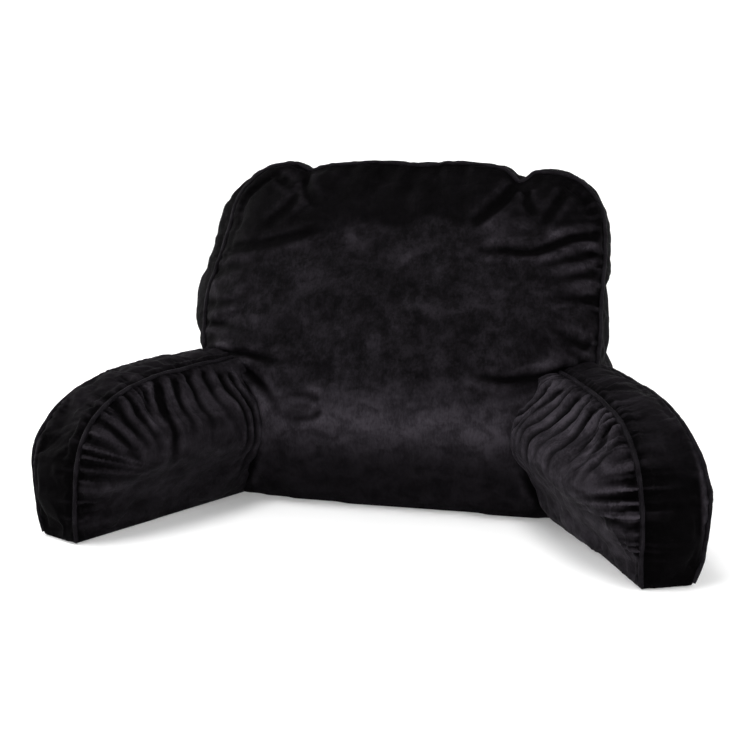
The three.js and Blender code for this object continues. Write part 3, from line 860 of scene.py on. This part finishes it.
def sweep(name, line, radii, sides=10):
    """A tube of given radii along a line, its section turned with the line."""
    p = np.asarray(line, float)
    tangent = np.gradient(p, axis=0)
    tangent /= np.linalg.norm(tangent, axis=1, keepdims=True)
    up = np.array([0.0, 0.0, 1.0])
    normal = np.cross(tangent[0], up)
    if np.linalg.norm(normal) < 0.1:
        normal = np.cross(tangent[0], (1.0, 0.0, 0.0))
    normal /= np.linalg.norm(normal)
    rings = []
    radii = np.broadcast_to(radii, (len(p),))
    for point, t, r in zip(p, tangent, radii):
        normal = normal - t * normal.dot(t)
        normal /= np.linalg.norm(normal)
        other = np.cross(t, normal)
        turn = np.arange(sides) / sides * 2 * math.pi
        rings.append(point + r * (np.cos(turn)[:, None] * normal + np.sin(turn)[:, None] * other))
    return new_object(name, loft(name, rings))


def laid_on(cover, line):
    """The line moved onto the cover's surface, and out by what the cord stands proud."""
    coords = coords_of(cover.data)
    normals = normals_of(cover.data)
    tree = tree_of(coords)
    laid = []
    for point in at(line):
        spot, _, _ = tree.find(point)
        near = [i for _, i, _ in tree.find_range(spot, 6 * MM)]
        out = normals[near].sum(0)
        out[2] *= smoothstep(8, 40, spot[2] / MM)
        proud = WELT_PROUD * MM * smoothstep(6, 22, point[2] / MM)
        laid.append(np.array(spot) + out / np.linalg.norm(out) * proud)
    laid = np.array(laid) / MM - np.array([0.0, LAYOUT_Y, 0.0])
    for _ in range(4):
        laid[1:-1] = (laid[:-2] + 2 * laid[1:-1] + laid[2:]) / 4
    return laid


def welt(name, line, cover, node):
    """Piping along a seam, laid into the cover, with the unevenness of a covered cord."""
    line = laid_on(cover, spaced(line, CORD_STEP))
    run = np.arange(len(line)) * CORD_STEP
    sway = np.stack([wander(run, 40, 3), wander(run, 33, 4), wander(run, 29, 5)], 1) * 0.3
    radii = WELT_RADIUS * (1 + 0.07 * wander(run, 9, 6))
    line = line + sway
    line[:, 2] = np.maximum(line[:, 2], WELT_RADIUS)
    obj = sweep(name, line, radii)
    finish_piece(obj, PIPING, "piping", node)


def paint(obj, material):
    """Gives an object one material in place of any it has."""
    obj.data.materials.clear()
    obj.data.materials.append(material)


def finish_piece(obj, material, slot, *nodes, body="cushion"):
    """Its material and smooth shading, the body it rides on and the nodes it replaces. The slot is not
    used.
    """
    paint(obj, material)
    for polygon in obj.data.polygons:
        polygon.use_smooth = True
    if body:
        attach(obj, body)
    if nodes:
        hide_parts(*nodes)


# ---- materials ----


class Nodes:
    """Short forms for building a material's node tree."""

    def __init__(self, name):
        self.material = bpy.data.materials.new(name)
        self.material.use_nodes = True
        self.tree = self.material.node_tree
        self.tree.nodes.clear()
        self.shader = self.add("BsdfPrincipled")
        self.link(self.shader.outputs["BSDF"], self.add("OutputMaterial").inputs["Surface"])
        self.place = self.add("TexCoord").outputs["Object"]

    def add(self, kind, **inputs):
        """A new node, with the inputs given by name set."""
        node = self.tree.nodes.new("ShaderNode" + kind)
        for name, value in inputs.items():
            node.inputs[name].default_value = value
        return node

    def link(self, a, b):
        self.tree.links.new(a, b)

    def feed(self, socket, value):
        """Links an output to a socket, or gives the socket a plain value."""
        if hasattr(value, "is_output"):
            self.link(value, socket)
        else:
            socket.default_value = value

    def shade(self, inputs):
        """Feeds the shader's inputs, by name."""
        for name, value in inputs.items():
            self.feed(self.shader.inputs[name], value)

    def attribute(self, name):
        node = self.add("Attribute")
        node.attribute_name = name
        return node.outputs["Fac"]

    def noise(self, scale, detail=2.0, rough=0.5, vector=None, distortion=0.0):
        node = self.add("TexNoise", Scale=scale, Detail=detail, Roughness=rough, Distortion=distortion)
        self.link(vector or self.place, node.inputs["Vector"])
        return node.outputs["Fac"]

    def stretched(self, *scale):
        node = self.add("Mapping", Scale=scale)
        self.link(self.place, node.inputs["Vector"])
        return node.outputs["Vector"]

    def spread(self, value, low, high, to_low=0.0, to_high=1.0):
        node = self.add("MapRange")
        node.interpolation_type = "SMOOTHSTEP"
        self.feed(node.inputs["Value"], value)
        ends = {"From Min": low, "From Max": high, "To Min": to_low, "To Max": to_high}
        for key, number in ends.items():
            node.inputs[key].default_value = number
        return node.outputs["Result"]

    def math(self, kind, a, b):
        node = self.add("Math")
        node.operation = kind
        self.feed(node.inputs[0], a)
        self.feed(node.inputs[1], b)
        return node.outputs["Value"]

    def mix(self, share, a, b):
        """A colour between two others. The node's colour sockets are inputs 6 and 7 and output 2."""
        node = self.add("Mix")
        node.data_type = "RGBA"
        self.feed(node.inputs["Factor"], share)
        self.feed(node.inputs[6], (*a, 1))
        self.feed(node.inputs[7], (*b, 1))
        return node.outputs[2]

    def height(self):
        node = self.add("SeparateXYZ")
        self.link(self.place, node.inputs["Vector"])
        return node.outputs["Z"]

    def bump(self, height, distance, strength=1.0, below=None):
        node = self.add("Bump", Strength=strength, Distance=distance)
        self.link(height, node.inputs["Height"])
        if below is not None:
            self.link(below, node.inputs["Normal"])
        return node.outputs["Normal"]


def darker(color, share):
    return tuple(c * share for c in color)


SHEEN = 0.004
SHEEN_TINT = (0.62, 0.58, 0.68, 1)
PILE_SPECULAR = 0.015
PILE_DARK = (0.0004, 0.0003, 0.0004)
COVER_LIGHT = (0.035, 0.0308, 0.0372)
PIPING_LIGHT = (0.0095, 0.0084, 0.0102)
HANDLE_LIGHT = (0.012, 0.0105, 0.013)
TAPE_COLOR = (0.012, 0.012, 0.013)
COIL_COLOR = (0.02, 0.02, 0.022)
THREAD_COLOR = (0.016, 0.015, 0.018)
LACQUER = (0.012, 0.012, 0.013)
BARE_METAL = (0.09, 0.09, 0.095)


def velour(name, light, painted_tones=True):
    """Short crushed pile. With its painted tones, one point attribute carries the pile's brushed tone
    together with painted highlights and painted shade, and "crush" says how patchy the pile is.
    """
    n = Nodes(name)
    crushed = n.noise(38, 3.0, 0.55, n.stretched(1.0, 1.0, 1.3), 0.5)
    grain = n.noise(230, 3.0, 0.65, n.stretched(1.6, 1.6, 0.7))
    tone = n.math("ADD", n.math("MULTIPLY", crushed, 0.62), n.math("MULTIPLY", grain, 0.38))
    tone = n.spread(tone, 0.33, 0.68, 0.35, 1.15)
    if painted_tones:
        broad = n.spread(n.noise(20, 5.0, 0.6, n.stretched(1.0, 1.0, 1.4), 0.4), 0.42, 0.6, -0.3, 0.18)
        fine = n.spread(n.noise(85, 5.0, 0.7, n.stretched(1.2, 1.2, 0.8)), 0.42, 0.58, -0.25, 0.25)
        worn = n.math("MULTIPLY", n.math("ADD", broad, fine), n.attribute("crush"))
        tone = n.math("MULTIPLY", tone, n.math("ADD", worn, 1.0))
        # The painted light and shade, with the pile's brushed tone.
        tone = n.math("MULTIPLY", tone, n.attribute("pile_and_light"))
    soft = n.bump(crushed, 0.003, 0.5)
    soft = n.bump(n.noise(420, 3.0, 0.6, n.stretched(1.0, 1.0, 0.6)), 0.0007, 0.55, soft)
    n.shade({
        "Base Color": n.mix(tone, PILE_DARK, light),
        "Roughness": n.spread(tone, 0.0, 1.0, 0.72, 0.5),
        "Normal": n.bump(n.noise(1500, 2.0, 0.6), 0.0003, 0.6, soft),
        "Sheen Weight": SHEEN,
        "Sheen Roughness": 0.45,
        "Sheen Tint": SHEEN_TINT,
        "Specular IOR Level": PILE_SPECULAR,
    })
    return n.material


def woven(name, color):
    """Zip tape: a fine twill."""
    n = Nodes(name)
    wave = n.add("TexWave", Scale=600)
    wave.bands_direction = "DIAGONAL"
    n.link(n.place, wave.inputs["Vector"])
    thread = wave.outputs["Fac"]
    n.shade({
        "Base Color": n.mix(thread, darker(color, 0.5), color),
        "Normal": n.bump(thread, 0.0003, 0.7),
        "Roughness": 0.85,
    })
    return n.material


def moulded(name, color, rough):
    """Plastic or waxed thread, slightly mottled."""
    n = Nodes(name)
    mottle = n.noise(260, 2.0)
    n.shade({
        "Base Color": n.mix(mottle, darker(color, 0.7), color),
        "Roughness": n.spread(mottle, 0.3, 0.7, rough - 0.08, rough + 0.08),
        "Normal": n.bump(mottle, 0.0001, 0.3),
    })
    return n.material


def lacquered_metal(name):
    """Black lacquer, rubbed through to the metal in specks."""
    n = Nodes(name)
    wear = n.noise(420, 3.0, 0.6)
    n.shade({
        "Base Color": n.mix(n.spread(wear, 0.62, 0.72), LACQUER, BARE_METAL),
        "Roughness": n.spread(wear, 0.3, 0.7, 0.24, 0.42),
        "Normal": n.bump(wear, 0.00008, 0.4),
        "Metallic": 0.7,
    })
    return n.material


# ---- the parts put together ----

VELOUR = velour("velour", COVER_LIGHT)
PIPING = velour("velour_piping", PIPING_LIGHT, painted_tones=False)
HANDLE = velour("velour_handle", HANDLE_LIGHT, painted_tones=False)
TAPE = woven("zip_tape", TAPE_COLOR)
COIL = moulded("zip_coil", COIL_COLOR, 0.45)
METAL = lacquered_metal("zip_metal")
THREAD = moulded("stitching", THREAD_COLOR, 0.6)

BACK_PANELS = ("front_panel", "boxing_strip", "rear_upper_panel", "rear_lower_panel", "base_panel")
ARM_PANELS = ("inner_panel", "gusset", "outer_panel", "base_panel", "baffle")


def add_back():
    """The back's cover. Its two cords come after the arms."""
    back = make_back()
    finish_piece(back, VELOUR, "velour", *["back_" + n for n in BACK_PANELS], "liner_back", "fill_back")
    return back


def add_arm(word, side):
    """An arm's cover with its two cords."""
    arm = make_arm(word, side)
    nodes = ["arm_%s_%s" % (word, n) for n in ARM_PANELS]
    finish_piece(arm, VELOUR, "velour", *nodes, "liner_arm_" + word, "fill_arm_" + word)
    for place, outward, start in (("inner", 0.0, INNER_WELT_START), ("outer", 1.0, 0.0)):
        name = "arm_%s_%s_welt" % (word, place)
        line = arm_seam(side, outward, start)
        welt(name + "_cord", line[line[:, 2] > 3.0], arm, name)


back = add_back()
add_arm("left", -1)
add_arm("right", 1)
welt("back_front_welt_cord", back_seam("front", FRONT_WELT_START), back, "back_front_welt")
welt("back_rear_welt_cord", back_seam("rear", REAR_SEAM_START), back, "back_rear_welt")

# ---- the zip's placket, the coils and the carry handle ----


def oval(half_width, half_thickness, sides=16, power=2.6):
    """A rounded flat section, as (across, out) pairs."""
    turn = np.arange(sides) / sides * 2 * math.pi
    c, s = np.cos(turn), np.sin(turn)
    shape = np.stack([np.sign(c) * np.abs(c) ** (2 / power), np.sign(s) * np.abs(s) ** (2 / power)], 1)
    return shape * np.array([half_width, half_thickness])


def strip(name, path, section_at):
    """A flat strap along a path on the rear panel: its sections face out along +Y."""
    p = np.asarray(path, float)
    tangent = np.gradient(p, axis=0)
    tangent /= np.linalg.norm(tangent, axis=1, keepdims=True)
    rings = []
    for i, (point, t) in enumerate(zip(p, tangent)):
        across = np.cross(t, (0.0, 1.0, 0.0))
        across /= np.linalg.norm(across)
        out = np.cross(across, t)
        out *= np.sign(out[1]) or 1.0
        section = section_at(i / (len(p) - 1))
        rings.append(point + section[:, :1] * across + section[:, 1:] * out)
    return new_object(name, loft(name, rings))


THREAD_SIDES = 6
THREAD_SHAPE = ((0, 0.35), (0.15, 0.9), (0.5, 1), (0.85, 0.9), (1, 0.35))  # (along, fatness)


def thread_faces(first):
    """The sides and the two ends of a thread, whose points start at an index."""
    n = THREAD_SIDES
    last = first + (len(THREAD_SHAPE) - 1) * n
    faces = []
    for start in range(first, last, n):
        for k in range(n):
            j = (k + 1) % n
            faces.append((start + k, start + j, start + n + j, start + n + k))
    faces.append(tuple(first + k for k in reversed(range(n))))
    faces.append(tuple(last + k for k in range(n)))
    return faces


def stitches(name, lines, length, radius, **where):
    """Short, fat threads one after another along each line, with a gap after each."""
    points, faces = [], []
    for line in lines:
        marks = spaced(line, length * 1.45)
        for a, b in zip(marks[:-1], marks[1:]):
            way = (b - a) / np.linalg.norm(b - a)
            side = np.cross(way, (0.0, 1.0, 0.0))
            side /= np.linalg.norm(side)
            out = np.cross(side, way)
            faces += thread_faces(len(points))
            for share, fat in THREAD_SHAPE:
                for k in range(THREAD_SIDES):
                    angle = k * math.pi / 3
                    reach = math.cos(angle) * side + math.sin(angle) * out
                    points.append(a + way * length * share + radius * fat * reach)
    obj = new_object(name, mesh_from(name, points, faces))
    finish_piece(obj, THREAD, **where)


HEM_Z = 15.4  # from the zip's middle line to a hem's
HEM_OVERRUN = 8.0
HEM_ROWS = (-5.6, 6.4)  # the two rows of stitches, from the hem's middle line


def make_placket():
    """Two folded hems that cover the tapes' edges above and below the coils."""
    rows = []
    x = np.linspace(-ZIP_HALF - HEM_OVERRUN, ZIP_HALF + HEM_OVERRUN, 150)
    for word, sign in (("upper", 1), ("lower", -1)):
        z = ZIP_Z + sign * HEM_Z
        y = REAR_Y - 1.0 + 0.25 * wander(x + 300, 16, 40 + sign)
        path = np.stack([x, y, z + 0.3 * wander(x + 300, 23, 50 + sign)], 1)
        flap = strip("zip_placket_" + word, path, lambda t: oval(9.0, 1.9))
        finish_piece(flap, HANDLE, "velour")
        for off in HEM_ROWS:
            rows.append(np.stack([x, y + 1.75, np.full(len(x), z + sign * off)], 1)[2:-2])
    stitches("zip_placket_stitching", rows, 2.4, 0.32, slot="velour")


COIL_PITCH = 1.5
COIL_WIRE = 0.33


def make_coils():
    """Each coil as a run of moulded loops, in place of the frame's plain bar."""
    for word, sign in (("upper", 1), ("lower", -1)):
        low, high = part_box("zipper_coil_" + word)
        y = (low[1] + high[1]) / 2 / MM - LAYOUT_Y
        z = (low[2] + high[2]) / 2 / MM
        reach = (high[0] - low[0]) / 2 / MM - 0.6
        x = np.arange(-reach, reach, COIL_PITCH / 8)
        turn = 2 * math.pi * x / COIL_PITCH
        line = np.stack([x, y + 0.55 * np.sin(turn), z + 0.95 * sign * np.cos(turn)], 1)
        coil = sweep("zip_coil_" + word, line, COIL_WIRE, sides=5)
        finish_piece(coil, COIL, "zip_coil", "zipper_coil_" + word)


STRAP_HALF_WIDTH = 8.6
STRAP_HALF_THICKNESS = 1.3
STRAP_PADDING = (1.2, 2.5)  # what the filling adds to the two, away from the sewn ends
STRAP_ROW = 6.6  # the rows of stitches, from the strap's middle line


def handle_path():
    """The strap's middle line: up from under one tab, round the loop and back under the other."""
    turn = np.linspace(0, math.pi, 90)
    x = -HANDLE_SPAN / 2 * np.cos(turn)
    z = HANDLE_Z - HANDLE_DROP * np.sin(turn) ** 0.8
    loop = np.stack([x, np.full(90, HANDLE_Y), z], 1)
    rise = np.array([0.0, 2.5, 5.0, 7.5])
    y = HANDLE_Y - 3.2 * smoothstep(0, 6, rise)
    left = np.stack([np.full(4, -HANDLE_SPAN / 2), y, HANDLE_Z + rise], 1)
    right = left * np.array([-1.0, 1.0, 1.0])
    return spaced(np.vstack([left[::-1], loop[1:-1], right]), 2.2)


def strap_section(t):
    ripple = 1 + 0.05 * noise.noise(Vector((t * 26, 3.0, 0.0)))
    full = smoothstep(0.0, 0.09, t) * smoothstep(1.0, 0.91, t) * ripple
    wide, thick = STRAP_PADDING
    return oval(STRAP_HALF_WIDTH + wide * full, STRAP_HALF_THICKNESS + thick * full, 20)


def make_handle():
    """A padded loop with its two ends laid flat under sewn tabs."""
    path = handle_path()
    handle = strip("carry_handle_strap", path, strap_section)
    finish_piece(handle, HANDLE, "handle", "carry_handle", body=None)
    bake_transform(handle)
    body = path[8:-8]
    tangent = np.gradient(body, axis=0)
    tangent /= np.linalg.norm(tangent, axis=1, keepdims=True)
    across = np.cross(tangent, (0.0, 1.0, 0.0))
    rows = [body + across * off + np.array([0, 3.55, 0]) for off in (-STRAP_ROW, STRAP_ROW)]
    stitches("carry_handle_stitching", rows, 3.2, 0.4, slot="handle", body="carry_handle")


TAB_START = 3.6  # heights above the handle's pivots
TAB_LENGTH = 11.0
TAB_ROWS = (5.6, 12.6)
TAB_ROW_X = 8.5


def tab_section(t):
    return oval(11.0, 1.5 - 0.5 * abs(2 * t - 1) ** 3, 24, 4.0)


def make_tabs():
    """The sewn patches over the strap's ends, each with a box of stitches and a cross in it."""
    rows = []
    y = REAR_Y + 3.9
    low, high = (HANDLE_Z + row for row in TAB_ROWS)
    for word, side in (("left", -1), ("right", 1)):
        x = side * HANDLE_SPAN / 2
        t = np.linspace(0, 1, 12)
        bulge = REAR_Y + 1.6 + 0.9 * np.sin(math.pi * t)
        path = np.stack([np.full(12, x), bulge, HANDLE_Z + TAB_START + TAB_LENGTH * t], 1)
        tab = strip("handle_tab_" + word, path, tab_section)
        finish_piece(tab, HANDLE, "handle", "handle_anchor_" + word)
        a, b = x - TAB_ROW_X, x + TAB_ROW_X
        corners = np.array([(a, y, low), (b, y, low), (b, y, high), (a, y, high)])
        rows += [corners[[i, (i + 1) % 4]] for i in range(4)]
        rows += [corners[[0, 2]], corners[[1, 3]]]
    stitches("handle_tab_stitching", rows, 1.9, 0.34, slot="handle")


make_placket()
make_coils()
make_handle()
make_tabs()

for name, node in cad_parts.items():
    if name.startswith("zipper_tape"):
        paint(node, TAPE)
    elif name.startswith("zipper_coil") or "stop" in name:
        paint(node, COIL)
    elif name.startswith("zipper"):
        paint(node, METAL)
        edge = node.modifiers.new("edges", "BEVEL")
        edge.width = 0.25 * MM
        edge.segments = 2
    elif "handle" in name:
        paint(node, HANDLE)

# ---- floor, light and camera ----


PAPER = (0.88, 0.88, 0.88, 1)
GLOW = (0.15, 0.8)  # the paper's emission at the floor, and from GLOW_HEIGHT up
GLOW_HEIGHT = 0.7
FLOOR_Z = -0.4
FLOOR_RADII = (400.0, 1500.0, 3200.0)
COVE_RADIUS = 1400.0
WALL_TOP = 3000.0


def white_cove():
    """White paper, lit from behind where it turns up into the wall."""
    n = Nodes("floor")
    n.shade({
        "Base Color": PAPER,
        "Roughness": 0.9,
        "Emission Color": (1.0, 1.0, 1.0, 1),
        "Emission Strength": n.spread(n.height(), 0.0, GLOW_HEIGHT, *GLOW),
    })
    return n.material


def studio_bowl():
    """A floor that turns up into a wall all round, so that no horizon shows from any side."""
    edge = FLOOR_RADII[-1]
    profile = [(r, FLOOR_Z) for r in FLOOR_RADII]
    for t in np.linspace(0, math.pi / 2, 10)[1:]:
        profile.append((edge + COVE_RADIUS * math.sin(t), COVE_RADIUS * (1 - math.cos(t)) + FLOOR_Z))
    profile.append((edge + COVE_RADIUS, WALL_TOP))
    angles = np.arange(72) / 72 * 2 * math.pi
    rings = [np.stack([r * np.cos(angles), r * np.sin(angles), np.full(72, z)], 1) for r, z in profile]
    rings.insert(0, rings[0] * np.array([0.02, 0.02, 1.0]))
    return new_object("floor", loft("floor", rings, closed_ends=False))


floor = studio_bowl()
for polygon in floor.data.polygons:
    polygon.use_smooth = True
paint(floor, white_cove())

# Each lamp's name, place, aim, size and power.
LAMPS = [
    ("top", (-0.3, -0.5, 2.7), (0.0, -0.05, 0.1), 1.3, 44),
    ("left", (-2.3, 0.3, 1.3), (0.2, -0.1, 0.1), 1.1, 38),
    ("right", (2.2, 0.2, 1.5), (-0.2, -0.1, 0.1), 1.1, 12),
    ("front", (0.8, -3.2, 1.8), (0.0, 0.0, 0.2), 1.6, 9),
]
for name, place, aim, size, power in LAMPS:
    light = bpy.data.lights.new(name, "AREA")
    light.shape = "DISK"
    light.size = size
    light.energy = power
    lamp = new_object(name, light)
    lamp.location = place
    lamp.rotation_euler = (Vector(aim) - Vector(place)).to_track_quat("-Z", "Y").to_euler()

world = bpy.data.worlds.new("studio")
world.use_nodes = True
background = world.node_tree.nodes["Background"]
background.inputs["Color"].default_value = (1.0, 1.0, 1.0, 1)
background.inputs["Strength"].default_value = 0.35
scene.world = world
scene.view_settings.view_transform = "Standard"

# The photo's camera: angles round the cushion and above the floor, and distance in metres.
AZIMUTH = math.radians(13.64)
ELEVATION = math.radians(11.80)
DISTANCE = 1.9956
AIM = Vector((-0.0276, LAYOUT_Y * MM, 0.1813))
toward_camera = Vector((
    math.sin(AZIMUTH) * math.cos(ELEVATION),
    -math.cos(AZIMUTH) * math.cos(ELEVATION),
    math.sin(ELEVATION),
))
lens = bpy.data.cameras.new("camera")
lens.lens = 70.28
lens.sensor_width = 36.0
camera = new_object("camera", lens)
camera.location = AIM + toward_camera * DISTANCE
camera.rotation_euler = toward_camera.to_track_quat("Z", "Y").to_euler()
scene.camera = camera
